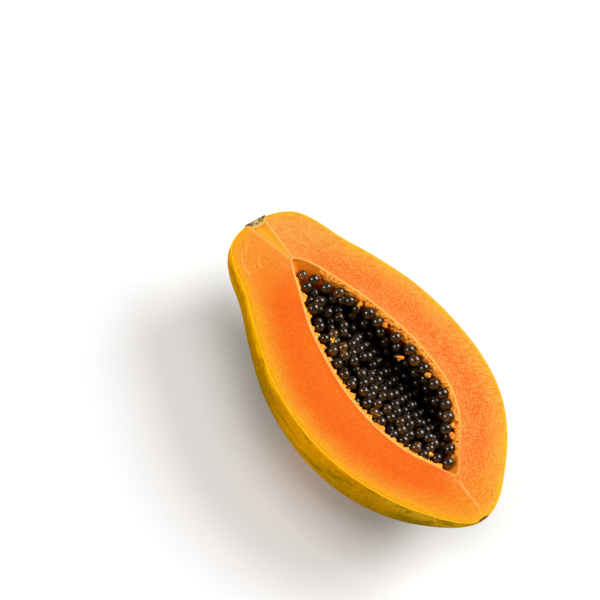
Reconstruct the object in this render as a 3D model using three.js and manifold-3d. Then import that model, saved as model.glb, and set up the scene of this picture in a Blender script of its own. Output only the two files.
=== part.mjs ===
// Half of a ripe papaya, cut lengthwise, lying on its round side with the cut face up.
// X runs along the fruit from the stem end to the blossom end, Y runs across the cut face and Z points up.
import * as THREE from "three";
import { mergeVertices } from "three/addons/utils/BufferGeometryUtils.js";
import Module from "manifold-3d";

// Driving dimensions, in millimetres and degrees. Places are measured from the stem end, on the cut face,
// which lies at z = 0 until the last step sets the fruit on its flat spot.

// The fruit: its half width is the fullness times the sine of the station, an angle that runs from
// 0 at the stem end to 180 at the blossom end. Lists of values are evenly spaced over that angle.
const fruitLength = 205;
const fruitFullness = [77.9, 70.5, 55.8, 47.9, 50.4, 55.2, 58.2, 59.7, 59, 54.8, 48.1, 44.6, 44.5];
const fruitBow = [0, 1.3, 3.4, 3.5, 4.6, 1.85, 0]; // sideways shift of the centre line
const fruitDepthShare = [1.4, 1.33, 1.28, 1.13, 1.15, 1.15, 0.95]; // depth over half width
const fruitStations = 54;
const fruitSides = 28;
const flatSpotDepth = 1.3; // what the fruit's own weight presses flat under it

// The seed cavity, shaped like the fruit: pointed towards the stem and blunt at the blossom end.
const cavityStart = 29.3;
const cavityLength = 147.2;
const cavityFullness = [9.5, 11, 14.1, 17.2, 21.4, 24.1, 26.5, 27.8, 27.7, 24, 16.6, 12.3, 13];
const cavityShift = [3.6, 5.7, 5.9, 7, 7.5, 4.5, 3.1];
const cavityDepthShare = 1.15;
const cavityStations = 36;
const cavitySides = 18;

// The stem end: a hollow with the woody stub of the stalk, and a shallow groove from it to the cavity.
const stemHollow = { depth: 4.4, radius: 6.8 };
const stub = { radius: 5.4, out: 0.4, ragged: 0.5, gap: 0.35, underCut: 0.3, sides: 22 };
const groove = { from: 3, to: 28.6, near: [-5, 3.1], far: [4.6, 4.2], deepest: 0.7, depth: 1.3 };
const blossomScar = { depth: 1.3, radius: 4 };

// The seeds lie one deep down the far side of the cavity and fill its near side almost to the cut face.
// Those nearest the cut face lie at these places along and across the fruit, their tops just under the face.
const rimSeeds = [
  [38.9, 4.3], [44.2, 8.7], [51.4, 11.8], [57.6, 16.2], [64.6, 18.2], [75.8, 23.2], [82.5, 24], [95, 27.3],
  [105, 29.3], [111.3, 28.1], [117.4, 29.7], [128.1, 28.6], [134.9, 29.2], [140.8, 26.4], [147.2, 22.8],
  [152.2, 17.2], [162.7, 11.4], [168.8, 5.2], [163.3, 1.8], [158, -3.2], [152.8, -4.6], [145.8, -8.2],
  [140.4, -10.9], [131, -12], [124.8, -12], [118.4, -11.8], [112, -9.3], [105.2, -12.8], [98.7, -12.6],
  [91.6, -11.2], [84.2, -9.2], [76.1, -8.9], [69, -6.8], [58.3, -2.7], [45.8, 2.3],
];

// The rest of the seeds lie over the heap. A seed's lift is the distance from its centre in from the wall.
// The heap fills a share of the depth at the near side, and rises to it between two turns round the cavity.
const seedRadius = 3.1;
const seedsDrawn = 150;
const seedLift = [3.8, 6.2];
const seedHeap = { share: 0.79, rise: [0.85, 2.3] };
const seedRow = { from: 40, to: 168, top: -3.2, lower: 0.7, turns: [0.35, 2.6] };
const seedSpacing = 6.7; // seeds nearer than this push each other away
const seedNearest = 5.2; // a seed that still lies nearer than this to another one is left out
const settleSteps = 40;

// The bed of pulp and lower seeds that the seeds on show sit in.
const bed = { gap: 0.4, lift: 5.2, top: -4.3, from: 36, to: 172.5, stations: 20, sides: 10 };

// Tufts of pulp between the cut edge of the cavity and the seeds.
const tuft = {
  from: 42, to: 174, step: 3.1, radius: 1.2, reach: [1.4, 2.8], drop: [1.3, 2.9], clear: 0.35,
};

const wasm = await Module();
wasm.setup();

// A repeatable draw of numbers from 0 to 1.
function drawer(seed) {
  let state = seed;
  return () => {
    state = (Math.imul(state, 1664525) + 1013904223) >>> 0;
    return state / 2 ** 32;
  };
}

// A smooth curve through evenly spaced values, read at a share of its length from 0 to 1.
function smooth(values) {
  const curve = new THREE.SplineCurve(values.map((value, i) => new THREE.Vector2(i, value)));
  return (share) => curve.getPoint(share).y;
}

// A closed solid from a geometry whose faces point out.
function solidOf(geometry) {
  const bare = geometry.clone();
  bare.deleteAttribute("normal");
  bare.deleteAttribute("uv");
  const merged = mergeVertices(bare, 1e-4);
  const corners = merged.index.array;
  const kept = [];
  for (let i = 0; i < corners.length; i += 3) {
    const [a, b, c] = corners.slice(i, i + 3);
    if (a !== b && b !== c && c !== a) kept.push(a, b, c);
  }
  const vertProperties = new Float32Array(merged.attributes.position.array);
  const triVerts = new Uint32Array(kept);
  return new wasm.Manifold(new wasm.Mesh({ numProp: 3, vertProperties, triVerts }));
}

// A solid skinned over closed rings of points, one behind the other, with a fan over each end.
function loft(rings) {
  const around = rings[0].length;
  const middle = (ring) => ring.reduce((sum, p) => sum.add(p), new THREE.Vector3()).divideScalar(around);
  const first = rings.length * around;
  const points = [...rings.flat(), middle(rings[0]), middle(rings.at(-1))];
  const index = [];
  for (let j = 0; j < around; j++) {
    const next = (j + 1) % around;
    const back = (rings.length - 1) * around;
    index.push(first, j, next, first + 1, back + next, back + j);
    for (let i = 0; i < rings.length - 1; i++) {
      const [a, b, c, d] = [i * around + j, i * around + next, (i + 1) * around + next, (i + 1) * around + j];
      index.push(a, d, b, b, d, c);
    }
  }
  const geometry = new THREE.BufferGeometry().setFromPoints(points);
  geometry.setIndex(index);
  return solidOf(geometry);
}

// Half an ellipse across the fruit, from the far side under to the near side, closed at a height above.
function trough(x, centre, halfWidth, depth, sides, height) {
  const ring = [];
  for (let j = 0; j <= sides; j++) {
    const turn = (Math.PI * j) / sides;
    ring.push(new THREE.Vector3(x, centre + halfWidth * Math.cos(turn), -depth * Math.sin(turn)));
  }
  if (height > 0) {
    ring.push(new THREE.Vector3(x, centre - halfWidth, height));
    ring.push(new THREE.Vector3(x, centre + halfWidth, height));
  }
  return ring;
}

const fullnessAt = smooth(fruitFullness);
const bowAt = smooth(fruitBow);
const depthShareAt = smooth(fruitDepthShare);

function fruitRing(share) {
  const x = (fruitLength / 2) * (1 - Math.cos(Math.PI * share));
  const halfWidth = fullnessAt(share) * Math.sin(Math.PI * share);
  return trough(x, bowAt(share), halfWidth, halfWidth * depthShareAt(share), fruitSides, 0);
}

const cavityFullnessAt = smooth(cavityFullness);
const cavityShiftAt = smooth(cavityShift);

// The cavity's centre, half width and depth at a place along the fruit.
function cavityAt(x) {
  const along = THREE.MathUtils.clamp((x - cavityStart) / cavityLength, 0, 1);
  const share = Math.acos(1 - 2 * along) / Math.PI;
  const halfWidth = cavityFullnessAt(share) * Math.sin(Math.PI * share);
  return { centre: cavityShiftAt(share), halfWidth, depth: halfWidth * cavityDepthShare };
}

// The cavity's own shape, or the same shape set in from its wall.
function cavityShape(inset, from, to, stations, sides) {
  const rings = [];
  for (let i = 0; i <= stations; i++) {
    const x = from + ((to - from) * (1 - Math.cos((Math.PI * i) / stations))) / 2;
    const { centre, halfWidth, depth } = cavityAt(x);
    rings.push(trough(x, centre, halfWidth - inset, depth - inset, sides, 2));
  }
  return loft(rings);
}

function ball(x, y, z, halfLength, radius, sides) {
  const geometry = new THREE.SphereGeometry(1, sides, sides / 2).scale(halfLength, radius, radius);
  return solidOf(geometry.translate(x, y, z));
}

function slab(fromZ, toZ) {
  const geometry = new THREE.BoxGeometry(2 * fruitLength, fruitLength, toZ - fromZ);
  return solidOf(geometry.translate(fruitLength / 2, 0, (fromZ + toZ) / 2));
}

// The groove's cross-section is a shallow V that narrows towards the cavity.
function grooveShape() {
  const rings = [0, 1].map((end) => {
    const x = [groove.from, groove.to][end];
    const [near, far] = [groove.near[end], groove.far[end]];
    const bottom = -groove.depth * (1 - 0.7 * end);
    const across = [
      [far, 0],
      [near + groove.deepest * (far - near), bottom],
      [near, 0],
      [near, 2],
      [far, 2],
    ];
    return across.map(([y, z]) => new THREE.Vector3(x, y, z));
  });
  return loft(rings);
}

// A place on the heap of seeds, at a turn from the far side under to the near side.
function onHeap(x, turn, lift) {
  const { centre, halfWidth, depth } = cavityAt(x);
  const across = Math.max(halfWidth - lift, 0.3);
  const short = 1 - THREE.MathUtils.clamp(THREE.MathUtils.inverseLerp(...seedHeap.rise, turn), 0, 1);
  const filled = seedHeap.share * (1 - short ** 3);
  const down = Math.max((depth - lift) * (1 - filled), -seedRow.top);
  const height = Math.min(-down * Math.sin(turn), seedRow.top);
  return new THREE.Vector3(x, centre + across * Math.cos(turn), height);
}

// The seeds at the rim stay where they are. The others are drawn at random over the heap and then pushed
// apart until they are packed evenly. Each keeps its own lift from the wall.
function settledSeeds() {
  const random = drawer(7);
  const seeds = rimSeeds.map(([x, y]) => ({
    held: true,
    at: new THREE.Vector3(x, y, seedRow.top - seedRow.lower * random()),
  }));
  const place = (seed) => {
    seed.at = onHeap(seed.x, seed.turn, seed.lift);
    seed.tangent = onHeap(seed.x, seed.turn + 0.01, seed.lift).sub(seed.at).multiplyScalar(100);
  };
  while (seeds.length < rimSeeds.length + seedsDrawn) {
    const x = THREE.MathUtils.lerp(seedRow.from, seedRow.to, random());
    const turn = THREE.MathUtils.lerp(...seedRow.turns, random());
    const lift = THREE.MathUtils.lerp(...seedLift, random());
    if (random() * 20 < cavityAt(x).halfWidth) seeds.push({ x, turn, lift });
  }
  const loose = seeds.filter((seed) => !seed.held);
  loose.forEach(place);
  for (let step = 0; step < settleSteps; step++) {
    const pushes = loose.map((seed) => {
      const push = new THREE.Vector3();
      for (const other of seeds) {
        const apart = seed.at.distanceTo(other.at);
        if (other === seed || apart >= seedSpacing) continue;
        push.addScaledVector(seed.at.clone().sub(other.at), (0.3 * (seedSpacing - apart)) / apart);
      }
      return push;
    });
    loose.forEach((seed, i) => {
      const turned = pushes[i].dot(seed.tangent) / seed.tangent.lengthSq();
      seed.x = THREE.MathUtils.clamp(seed.x + pushes[i].x, seedRow.from, seedRow.to);
      seed.turn = THREE.MathUtils.clamp(seed.turn + turned, ...seedRow.turns);
      place(seed);
    });
  }
  const places = seeds.map((seed) => seed.at);
  const clearOf = (at) => (other) => at.distanceTo(other) > seedNearest;
  return places.filter((at, i) => places.slice(0, i).every(clearOf(at)));
}

function seedSolid(at, random) {
  const geometry = new THREE.IcosahedronGeometry(seedRadius, 0);
  geometry.rotateX(Math.PI * random()).rotateZ(Math.PI * random());
  return solidOf(geometry.translate(at.x, at.y, at.z));
}

// Small ragged cones of pulp on both sides of the cavity, left out where a seed leaves no room for one.
function pulpTufts(seedPlaces) {
  const random = drawer(11);
  const tufts = [];
  for (const side of [-1, 1]) {
    for (let x = tuft.from; x < tuft.to; x += tuft.step * (0.7 + 0.6 * random())) {
      const { centre, halfWidth } = cavityAt(x);
      const reach = THREE.MathUtils.lerp(...tuft.reach, random());
      const drop = THREE.MathUtils.lerp(...tuft.drop, random());
      const root = new THREE.Vector3(x, centre + side * (halfWidth + 0.8), -drop);
      const tip = new THREE.Vector3(x + 2 * random() - 1, centre + side * (halfWidth - reach), -drop);
      const room = (share) => {
        const at = root.clone().lerp(tip, share);
        const needed = seedRadius + tuft.clear + tuft.radius * (1 - share);
        return seedPlaces.every((seed) => seed.distanceTo(at) > needed);
      };
      if (![0.2, 0.5, 0.8, 1].every(room)) continue;
      const direction = tip.clone().sub(root);
      const geometry = new THREE.ConeGeometry(tuft.radius, direction.length(), 5);
      geometry.translate(0, direction.length() / 2, 0);
      const upright = new THREE.Vector3(0, 1, 0);
      const turned = new THREE.Quaternion().setFromUnitVectors(upright, direction.normalize());
      tufts.push(solidOf(geometry.applyQuaternion(turned).translate(root.x, root.y, root.z)));
    }
  }
  return tufts;
}

function fruitSolid(seedPlaces) {
  const rings = [];
  for (let i = 0; i <= fruitStations; i++) rings.push(fruitRing(i / fruitStations));
  const lowest = Math.min(...rings.flat().map((point) => point.z));
  const pared = loft(rings)
    .subtract(cavityShape(0, cavityStart, cavityStart + cavityLength, cavityStations, cavitySides))
    .subtract(ball(0, 0, 0, stemHollow.depth, stemHollow.radius, 20))
    .subtract(ball(fruitLength, 0, 0, blossomScar.depth, blossomScar.radius, 12))
    .subtract(grooveShape())
    .subtract(slab(lowest - 10, lowest + flatSpotDepth));
  return pulpTufts(seedPlaces).reduce((fruit, one) => fruit.add(one), pared);
}

// The open space over the heap.
function heapHollow() {
  const rings = [];
  for (let i = 0; i <= bed.stations; i++) {
    const x = THREE.MathUtils.lerp(seedRow.from, seedRow.to, i / bed.stations);
    const turns = Array.from({ length: bed.sides + 1 }, (_, j) => (Math.PI * j) / bed.sides);
    const under = turns.map((turn) => onHeap(x, turn, bed.lift));
    const above = [under.at(-1), under[0]].map((edge) => edge.clone().setZ(2));
    rings.push([...under, ...above]);
  }
  return loft(rings);
}

function seedsSolid(seedPlaces) {
  const random = drawer(23);
  const cushion = cavityShape(bed.gap, bed.from, bed.to, bed.stations, bed.sides)
    .subtract(heapHollow())
    .subtract(slab(bed.top, 10));
  return seedPlaces.reduce((solid, at) => solid.add(seedSolid(at, random)), cushion);
}

// The stub fills the stem hollow, a little clear of it, with a ragged outline and a ragged woody end.
function stubSolid() {
  const random = drawer(5);
  const outline = Array.from({ length: stub.sides }, () => 1 - 0.12 * random());
  const ring = (x, radius, ragged) =>
    outline.map((share, j) => {
      const turn = (2 * Math.PI * j) / stub.sides;
      const away = radius * share;
      const out = x - ragged * random();
      return new THREE.Vector3(out, away * Math.cos(turn), -away * Math.sin(turn));
    });
  const deepest = stemHollow.depth - stub.gap;
  const widest = stemHollow.radius - stub.gap;
  const rings = [ring(-stub.out + stub.ragged, 0.5 * stub.radius, stub.ragged)];
  rings.push(ring(-stub.out + stub.ragged, stub.radius, stub.ragged));
  for (const share of [1, 0.85, 0.6, 0.25]) {
    const radius = stub.radius * share;
    rings.push(ring(deepest * Math.sqrt(1 - (radius / widest) ** 2), radius, 0));
  }
  return loft(rings).subtract(slab(-stub.underCut, 20));
}

function pieceOf(name, solid, colour, roughness) {
  const made = solid.getMesh();
  const geometry = new THREE.BufferGeometry();
  geometry.setAttribute("position", new THREE.BufferAttribute(made.vertProperties, 3));
  geometry.setIndex(new THREE.BufferAttribute(made.triVerts, 1));
  geometry.computeVertexNormals();
  const material = new THREE.MeshStandardMaterial({ color: colour, roughness, metalness: 0 });
  const mesh = new THREE.Mesh(geometry, material);
  mesh.name = name;
  return mesh;
}

const seedPlaces = settledSeeds();
const papaya = new THREE.Group();
papaya.add(pieceOf("fruit_half", fruitSolid(seedPlaces), 0xff8433, 0.42));
papaya.add(pieceOf("seeds", seedsSolid(seedPlaces), 0x20160c, 0.2));
papaya.add(pieceOf("stalk_stub", stubSolid(), 0x8c7d4e, 0.9));

// Set the fruit on its flat spot, with the middle of its length and width over the origin.
const bounds = new THREE.Box3().setFromObject(papaya);
const middle = bounds.getCenter(new THREE.Vector3());
papaya.position.set(-middle.x, -middle.y, -bounds.min.z);

export default papaya;
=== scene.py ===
import math

import bmesh
import bpy
import numpy as np
from mathutils import Matrix, Vector


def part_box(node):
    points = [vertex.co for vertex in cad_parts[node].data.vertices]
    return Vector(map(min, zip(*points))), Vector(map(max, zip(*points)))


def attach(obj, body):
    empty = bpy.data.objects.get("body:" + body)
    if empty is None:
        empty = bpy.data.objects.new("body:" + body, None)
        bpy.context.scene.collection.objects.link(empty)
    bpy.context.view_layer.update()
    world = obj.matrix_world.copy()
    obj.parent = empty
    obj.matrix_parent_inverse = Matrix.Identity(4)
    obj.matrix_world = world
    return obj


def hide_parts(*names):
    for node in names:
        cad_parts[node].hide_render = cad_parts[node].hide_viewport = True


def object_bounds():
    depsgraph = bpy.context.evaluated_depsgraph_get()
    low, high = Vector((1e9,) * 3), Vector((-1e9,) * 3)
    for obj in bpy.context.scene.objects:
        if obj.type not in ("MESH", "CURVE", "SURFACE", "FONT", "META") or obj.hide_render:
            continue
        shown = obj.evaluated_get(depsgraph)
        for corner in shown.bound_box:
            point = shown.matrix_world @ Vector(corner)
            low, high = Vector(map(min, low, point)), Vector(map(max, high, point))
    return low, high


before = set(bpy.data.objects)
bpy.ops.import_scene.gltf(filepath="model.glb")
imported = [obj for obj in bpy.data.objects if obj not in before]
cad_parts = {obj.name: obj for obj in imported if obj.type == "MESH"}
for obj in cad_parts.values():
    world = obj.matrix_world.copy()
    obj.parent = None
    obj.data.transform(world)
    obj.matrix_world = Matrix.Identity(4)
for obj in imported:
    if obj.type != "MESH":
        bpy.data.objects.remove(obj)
cad_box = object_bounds()


# --------------------------------------------------
# The skin
# A thin waxy peel round the half, yellow with green left in streaks. It grew in one with the flesh, and the
# knife has left its edge as a bright line round the cut face. It ends at the stem hollow's lip.

# Millimetres from the stem end: x along the fruit, y across the cut face, and the cut face at z = 0.
# Lists of values are evenly spaced over the station angle, from 0 at the stem end to 180 degrees.
fruit_length = 205
fruit_fullness = [77.9, 70.5, 55.8, 47.9, 50.4, 55.2, 58.2, 59.7, 59, 54.8, 48.1, 44.6, 44.5]
fruit_bow = [0, 1.3, 3.4, 3.5, 4.6, 1.85, 0]
fruit_depth_share = [1.4, 1.33, 1.28, 1.13, 1.15, 1.15, 0.95]
stem_hollow = {"depth": 4.4, "radius": 6.8}
blossom_scar = {"depth": 1.3, "radius": 4}
skin_thickness = 0.5
peel_start_steps = 8

# Where the stem end's axis meets the cut face, in the row frame.
cut_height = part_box("fruit_half")[1].z
stem_end = Vector((-0.102123, -0.003737, cut_height))

# The stations run from the stem hollow's lip past the two ends of the seed cavity to the blossom scar.
cavity_ends = [0.2225, 0.803]
head_steps = 70
body_steps = 150
tail_steps = 48
scar_steps = 6
round_sides = 84
merged_within = 2e-6


def smooth(values, share):
    """A smooth curve through evenly spaced values, read at shares of its length from 0 to 1."""
    points = np.array([values[0], *values, values[-1]], float)
    place = np.asarray(share, float) * (len(values) - 1)
    i = np.minimum(place.astype(int), len(values) - 2)
    t = place - i
    before, here, after, beyond = (points[i + k] for k in range(4))
    rise_in = (after - before) / 2
    rise_out = (beyond - here) / 2
    cubic = 2 * here - 2 * after + rise_in + rise_out
    square = 3 * after - 3 * here - 2 * rise_in - rise_out
    return cubic * t**3 + square * t**2 + rise_in * t + here


def stations(x, centre=0, half_width=0, depth=None):
    """Rows of place along the fruit, centre, half width and depth, which is the half width if not given."""
    depth = half_width if depth is None else depth
    return np.stack(np.broadcast_arrays(x, centre, half_width, depth), 1).astype(float)


def fruit_outline(share):
    """The fruit's stations at shares of the station angle."""
    x = fruit_length / 2 * (1 - np.cos(np.pi * share))
    half_width = smooth(fruit_fullness, share) * np.sin(np.pi * share)
    return stations(x, smooth(fruit_bow, share), half_width, half_width * smooth(fruit_depth_share, share))


def lip_share(end, depth, radius):
    """The share from an end of the fruit, 0 or 1, to where a round hollow sunk into it meets the outside."""
    shares = steps(0, 0.1, 4000)
    x, _, half_width, _ = fruit_outline(np.abs(end - shares)).T
    hollow = depth * np.sqrt(np.maximum(1 - (half_width / radius) ** 2, 0))
    return shares[np.argmax(np.abs(end * fruit_length - x) >= hollow)]


def steps(start, end, count):
    return np.linspace(start, end, count + 1)


outside = fruit_outline(np.concatenate([
    steps(lip_share(0, **stem_hollow), cavity_ends[0], head_steps)[:-1],
    steps(*cavity_ends, body_steps)[:-1],
    steps(cavity_ends[1], 1 - lip_share(1, **blossom_scar), tail_steps),
]))

# The scar is a shallow dish, so the stations turn in over its edge and end on the axis at its bottom.
scar_width = outside[-1, 2] * (1 - steps(0, 1, scar_steps)[1:])
scar_x = fruit_length - blossom_scar["depth"] * np.sqrt(1 - (scar_width / blossom_scar["radius"]) ** 2)
outside = np.concatenate([outside, stations(scar_x, 0, scar_width)])


def sunk_in(outer, thickness):
    """The same stations, moved in square to the surface by a thickness at each."""
    along, wide = np.gradient(outer[:, 0]), np.gradient(outer[:, 2])
    slope = np.maximum(np.hypot(along, wide), 1e-9)
    moved = outer.copy()
    moved[:, 0] += thickness * wide / slope
    moved[:, 2] = np.maximum(outer[:, 2] - thickness * along / slope, 0)
    moved[:, 3] = moved[:, 2] * outer[:, 3] / np.maximum(outer[:, 2], 1e-9)
    moved[-1, 2:] = 0
    return moved


# The peel is thin at the hollow's lip and reaches its full thickness a few millimetres on.
under_skin = sunk_in(outside, skin_thickness * np.minimum(np.arange(len(outside)) / peel_start_steps, 1))


class Value:
    """What a node works out. Sums on it with + - * / add the nodes that do them."""

    def __init__(self, socket):
        self.socket = socket
        self.tree = socket.id_data

    def __add__(self, other):
        return sums("ADD", self, other)

    def __sub__(self, other):
        return sums("SUBTRACT", self, other)

    def __rsub__(self, other):
        return sums("SUBTRACT", other, self)

    def __mul__(self, other):
        return sums("MULTIPLY", self, other)

    def __truediv__(self, other):
        return sums("DIVIDE", self, other)


def node(tree, kind, inputs=None, output=0, **settings):
    """A new node's output. Its inputs are given as plain values or as other nodes' values."""
    made = tree.nodes.new(kind)
    for name, value in settings.items():
        setattr(made, name, value)
    for key, value in (inputs or {}).items():
        if isinstance(value, Value):
            tree.links.new(value.socket, made.inputs[key])
        else:
            made.inputs[key].default_value = value
    return Value(made.outputs[output])


def sums(operation, *values, clamp=False):
    """One step of arithmetic on numbers and values."""
    tree = next(value.tree for value in values if isinstance(value, Value))
    return node(tree, "ShaderNodeMath", dict(enumerate(values)), operation=operation, use_clamp=clamp)


def vectors(operation, first, second=(0, 0, 0), scale=1.0, output="Vector"):
    """One step of arithmetic on places."""
    given = {0: first, 1: second, 3: scale}
    return node(first.tree, "ShaderNodeVectorMath", given, output, operation=operation)


def xyz(place):
    """A place's x, y and z."""
    split = node(place.tree, "ShaderNodeSeparateXYZ", {0: place}).socket.node
    return [Value(socket) for socket in split.outputs]


def grower(name, **kinds):
    """A new Geometry Nodes tree, and its named inputs as values."""
    tree = bpy.data.node_groups.new(name, "GeometryNodeTree")
    for key, kind in kinds.items():
        tree.interface.new_socket(key.replace("_", " "), in_out="INPUT", socket_type="NodeSocket" + kind)
    tree.interface.new_socket("Geometry", in_out="OUTPUT", socket_type="NodeSocketGeometry")
    given = tree.nodes.new("NodeGroupInput").outputs
    return tree, *[Value(given[i]) for i in range(len(kinds))]


def step(kind, geometry, inputs=None, **settings):
    """One Geometry Nodes step on a geometry."""
    return node(geometry.tree, "GeometryNode" + kind, {0: geometry, **(inputs or {})}, **settings)


def named(tree, name, kind="FLOAT_VECTOR"):
    return node(tree, "GeometryNodeInputNamedAttribute", {"Name": name}, data_type=kind)


def ended(geometry, finishes):
    """Ends a tree with a smooth, real geometry that wears each material on the faces given for it."""
    tree = geometry.tree
    geometry = step("RealizeInstances", step("SetShadeSmooth", geometry))
    for material, faces in finishes:
        geometry = step("SetMaterial", geometry, {"Selection": faces, "Material": material})
    tree.links.new(geometry.socket, tree.nodes.new("NodeGroupOutput").inputs[0])
    return tree


def halved_tree():
    """Skins a half fruit over its stations. Each station is one ring: the round outside, the cut face in to
    the core, the round inside and the cut face out again. Rings that shrink to a point close the ends."""
    tree, rings, sides, face_steps, crowding, lowest, *finishes = grower(
        "halved fruit", Stations="Geometry", Sides="Int", Face_Steps="Int", Face_Crowding="Float",
        Lowest="Float", Outside="Material", Cut="Material", Inside="Material")

    # A flat grid, one row of points for each station and one column for each place round the ring.
    rows = step("AttributeDomainSize", rings, output="Point Count")
    last_row = rows - 1
    last_column = (sides + face_steps) * 2
    sheet = node(tree, "GeometryNodeMeshGrid", {
        "Size X": last_row, "Size Y": last_column, "Vertices X": rows, "Vertices Y": last_column + 1})
    x, y, _ = xyz(node(tree, "GeometryNodeInputPosition"))
    row = sums("ROUND", last_row * 0.5 + x)
    column = last_column * 0.5 + y

    # How far each column is along the four stretches of the ring, each from 0 to 1.
    def stretch(start, length):
        return sums("DIVIDE", column - start, length, clamp=True)

    inside_start = sides + face_steps
    way_out_start = inside_start + sides
    way_in = 1 - sums("POWER", 1 - stretch(sides, face_steps), crowding)
    way_out = sums("POWER", stretch(way_out_start, face_steps), crowding)

    # Which stretch a face lies on: 0 outside, 1 cut, 2 inside.
    past = [sums("GREATER_THAN", column, start) for start in (sides, inside_start, way_out_start)]
    sheet = step("StoreNamedAttribute", sheet, {"Name": "part", "Value": past[0] + past[1] - past[2]},
                 data_type="FLOAT", domain="FACE")

    def read(name):
        return step("SampleIndex", rings, {"Value": named(tree, name), "Index": row},
                    data_type="FLOAT_VECTOR", domain="POINT")

    def round_place(side, share):
        turn = share * math.pi
        wide, painted_depth_shade, _ = xyz(read(side + "_reach"))
        offset = {"Y": wide * sums("COSINE", turn), "Z": painted_depth_shade * sums("SINE", turn) * -1}
        return vectors("ADD", read(side + "_centre"), node(tree, "ShaderNodeCombineXYZ", offset))

    def between(first, second, share):
        return node(tree, "ShaderNodeMix", {0: share, 4: first, 5: second}, 1, data_type="VECTOR")

    # The way out ends where the ring began.
    place = between(round_place("outer", stretch(0.0, sides)),
                    round_place("inner", 1 - stretch(inside_start, sides)), way_in)
    place = between(place, round_place("outer", column * 0.0), way_out)
    low_corner = node(tree, "ShaderNodeCombineXYZ", {"X": -1.0, "Y": -1.0, "Z": lowest})
    half = step("SetPosition", sheet, {"Position": vectors("MAXIMUM", place, low_corner)})
    half = step("MergeByDistance", half, {"Distance": merged_within})
    part = named(tree, "part", "FLOAT")
    worn = [node(tree, "FunctionNodeCompare", {0: part, 1: float(number), "Epsilon": 0.1},
                 data_type="FLOAT", operation="EQUAL") for number in range(len(finishes))]
    return ended(half, zip(finishes, worn))


halved = halved_tree()


def placed(name, data):
    """A new object in the scene."""
    made = bpy.data.objects.new(name, data)
    bpy.context.scene.collection.objects.link(made)
    return made


def keep(mesh, lists):
    """Keeps named values on a mesh's points, a number or a place for each."""
    for name, values in lists.items():
        values = np.asarray(values, np.float32)
        kind, field = ("FLOAT", "value") if values.ndim == 1 else ("FLOAT_VECTOR", "vector")
        mesh.attributes.new(name, kind, "POINT").data.foreach_set(field, values.ravel())


def grown(name, tree, points, lists, **settings):
    """The plain mesh that a Geometry Nodes tree makes of loose points, in millimetres from the stem end, with
    named values on them."""
    mesh = bpy.data.meshes.new(name)
    mesh.from_pydata([tuple(point / 1000 + np.array(stem_end)) for point in points], [], [])
    keep(mesh, lists)
    seed = placed(name, mesh)
    modifier = seed.modifiers.new(name, "NODES")
    modifier.node_group = tree
    for item in tree.interface.items_tree:
        setting = item.name.replace(" ", "_")
        if setting in settings:
            modifier[item.identifier] = settings[setting]
    made = bpy.data.meshes.new_from_object(seed.evaluated_get(bpy.context.evaluated_depsgraph_get()))
    bpy.data.objects.remove(seed)
    return made


def half_mesh(name, outer, inner, face_drop=0.0, **settings):
    """One closed half, skinned over its outer and inner stations, in metres in the row frame."""
    lists = {}
    for side, rows in (("outer", outer), ("inner", inner)):
        x, centre, half_width, depth = rows.T / 1000
        zero = 0 * x
        lists[side + "_centre"] = np.stack([x, centre, zero - face_drop], 1) + np.array(stem_end)
        lists[side + "_reach"] = np.stack([half_width, depth, zero], 1)
    return grown(name, halved, 0 * outer[:, :3], lists, **settings)


def corners(mesh):
    """A mesh's points, in millimetres from the stem end."""
    places = np.empty(3 * len(mesh.vertices), np.float32)
    mesh.vertices.foreach_get("co", places)
    return (places.reshape(-1, 3).astype(float) - np.array(stem_end)) * 1000


def settled(mesh, places, highest, sharp_angle):
    """Puts moved points back into a mesh, no higher than a height in millimetres and inside the CAD box, with
    its faces turned out and its edges crisp."""
    places[:, 2] = np.minimum(places[:, 2], highest)
    metres = np.clip(places / 1000 + np.array(stem_end), *np.array(cad_box))
    mesh.vertices.foreach_set("co", metres.astype(np.float32).ravel())
    work = bmesh.new()
    work.from_mesh(mesh)
    bmesh.ops.dissolve_degenerate(work, dist=1e-7, edges=work.edges)
    bmesh.ops.recalc_face_normals(work, faces=work.faces)
    for edge in work.edges:
        edge.smooth = edge.calc_face_angle(0) < math.radians(sharp_angle)
    work.to_mesh(mesh)
    work.free()
    mesh.update()


def piece(name, mesh, slot, *replaced, places=None, highest=0.0, sharp_angle=40):
    """A finished mesh as a piece of the object."""
    settled(mesh, corners(mesh) if places is None else places, highest, sharp_angle)
    made = placed(name, mesh)
    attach(made, "root")
    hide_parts(*replaced)


def colour(*tone):
    """A linear colour from red, green and blue from 0 to 255."""
    shares = [value / 255 for value in tone]
    light = [share / 12.92 if share <= 0.04045 else ((share + 0.055) / 1.055) ** 2.4 for share in shares]
    return (*light, 1.0)


def finish(name, **values):
    """A new material, with its shader's values that are the same all over."""
    made = bpy.data.materials.new(name)
    made.use_nodes = True
    for key, value in values.items():
        made.node_tree.nodes["Principled BSDF"].inputs[key.replace("_", " ")].default_value = value
    return made


def where(material):
    """The place on the object, and its x, y and z."""
    place = node(material.node_tree, "ShaderNodeTexCoord", output="Object")
    return place, *xyz(place)


def grain(place, scale, detail=2.0, roughness=0.5, distortion=0.0):
    """A cloud of noise from 0 to 1 over a place in metres. Scale is in waves a metre."""
    given = {"Vector": place, "Scale": scale, "Detail": detail, "Roughness": roughness,
             "Distortion": distortion}
    return node(place.tree, "ShaderNodeTexNoise", given, "Fac")


def spread(value, low, high, to_low=0.0, to_high=1.0):
    """A value's range from low to high stretched smoothly over another range."""
    given = {"Value": value, "From Min": low, "From Max": high, "To Min": to_low, "To Max": to_high}
    return node(value.tree, "ShaderNodeMapRange", given, interpolation_type="SMOOTHSTEP")


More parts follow.
